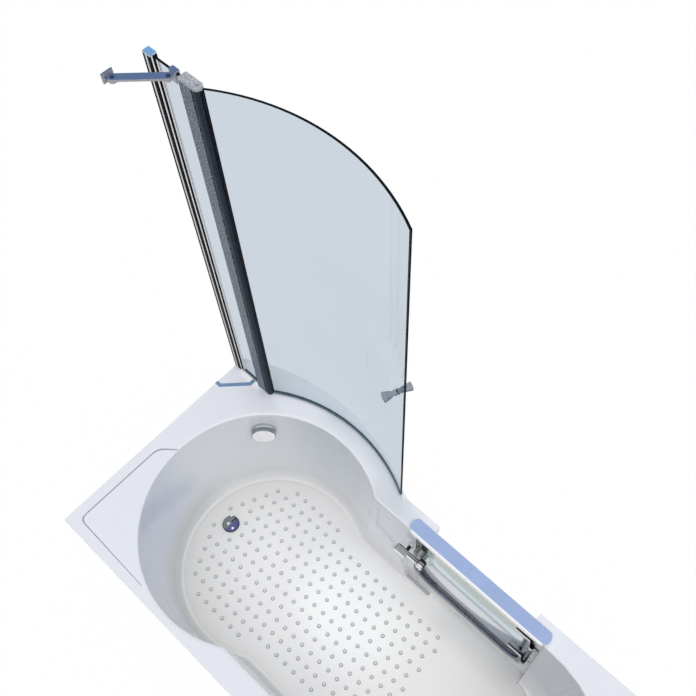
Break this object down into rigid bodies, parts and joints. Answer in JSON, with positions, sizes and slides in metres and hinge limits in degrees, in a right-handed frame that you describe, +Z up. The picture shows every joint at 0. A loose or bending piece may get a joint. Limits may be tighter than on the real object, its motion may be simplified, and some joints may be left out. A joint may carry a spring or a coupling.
{
  "type": "shower bath with screen",
  "caption": "Bath with a round shower end, a straight lying end, a curved pivoting glass screen, an inward opening glass bath door, drain and overflow.",
  "frame": {"origin": "centre of the bounding box's footprint, at the soles of the leg pads", "axes": "+Z up; -Y is the front with the panel and the door; +X is the shower end; rest pose with the bath door shut and the screen parallel to the front"},
  "size_m": [1.7, 0.85, 1.9715],
  "materials": {
    "acrylic": "white glossy acrylic with a faint lavender tint",
    "chrome": "polished, reflecting pale blue",
    "anodised": "dark satin anodised extrusion",
    "cap_plastic": "speckled grey",
    "glass": "clear toughened glass with a pale blue-grey tint",
    "seal": "translucent flexible seal",
    "black_rubber": "matt black",
    "white_plastic": "white moulded plastic",
    "grey_plastic": "dark grey moulded plastic",
    "zinc": "zinc plated steel",
    "board": "bare pressed board"
  },
  "bodies": {
    "bath": {"bath_shell": "acrylic", "front_panel": "acrylic", "waste_flange": "chrome", "overflow_body": "chrome", "wall_profile": "chrome", "wall_profile_cap": "chrome", "hinge_bracket": "chrome", "hinge_pin": "chrome", "corner_drip_rail": "chrome", "brace_wall_bracket": "chrome", "brace_bar": "chrome", "brace_clamp": "chrome", "brace_screw_wall": "chrome", "brace_screw_clamp": "chrome", "hinge_post": "anodised", "post_cap_top": "cap_plastic", "post_cap_bottom": "cap_plastic", "fixed_glass": "glass", "fixed_seal": "seal", "door_gasket": "black_rubber", "latch_keeper": "white_plastic", "overflow_elbow": "white_plastic", "waste_body": "white_plastic", "trap": "white_plastic", "overflow_pipe": "grey_plastic", "recess_strip": "grey_plastic", "leg_pad_1": "grey_plastic", "leg_pad_2": "grey_plastic", "leg_pad_3": "grey_plastic", "leg_pad_4": "grey_plastic", "leg_pad_5": "grey_plastic", "leg_pad_6": "grey_plastic", "cradle_rail_1": "zinc", "cradle_rail_2": "zinc", "cradle_rail_3": "zinc", "leg_stud_1": "zinc", "leg_stud_2": "zinc", "leg_stud_3": "zinc", "leg_stud_4": "zinc", "leg_stud_5": "zinc", "leg_stud_6": "zinc", "base_board": "board"},
    "screen_panel": {"pivot_profile": "anodised", "curved_glass": "glass", "screen_seal": "seal", "knob_outer": "chrome", "knob_inner": "chrome"},
    "bath_door": {"door_frame": "chrome", "door_glass": "glass", "door_top_bar": "chrome", "hinge_arm_upper": "chrome", "hinge_arm_lower": "chrome", "latch_body": "chrome"},
    "door_lever": {"latch_lever": "chrome"},
    "overflow_dial": {"overflow_knob": "chrome"},
    "drain_plug": {"waste_plug": "chrome"}
  },
  "joints": [
    {"name": "screen_swing", "type": "hinge", "parent": "bath", "child": "screen_panel", "pos_m": [0.6905, -0.2985, 0.5695], "axis": [0, 0, 1], "range_deg": [-90, 75]},
    {"name": "door_swing", "type": "hinge", "parent": "bath", "child": "bath_door", "pos_m": [-0.431, -0.2465, 0.5695], "axis": [0, 0, 1], "range_deg": [0, 100]},
    {"name": "latch_turn", "type": "hinge", "parent": "bath_door", "child": "door_lever", "pos_m": [-0.02613, -0.2432, 0.4393], "axis": [0, -1, 0], "range_deg": [0, 90]},
    {"name": "overflow_turn", "type": "hinge", "parent": "bath", "child": "overflow_dial", "pos_m": [0.6509, -0.2129, 0.4715], "axis": [-0.7047, 0.7047, 0.0831], "range_deg": [0, 90]},
    {"name": "plug_lift", "type": "slide", "parent": "bath", "child": "drain_plug", "axis": [0, 0, 1], "range_m": [0, 0.01]}
  ],
  "couplings": [
    {"joint": "plug_lift", "follows": "overflow_turn", "m_per_rad": 0.006366}
  ]
}
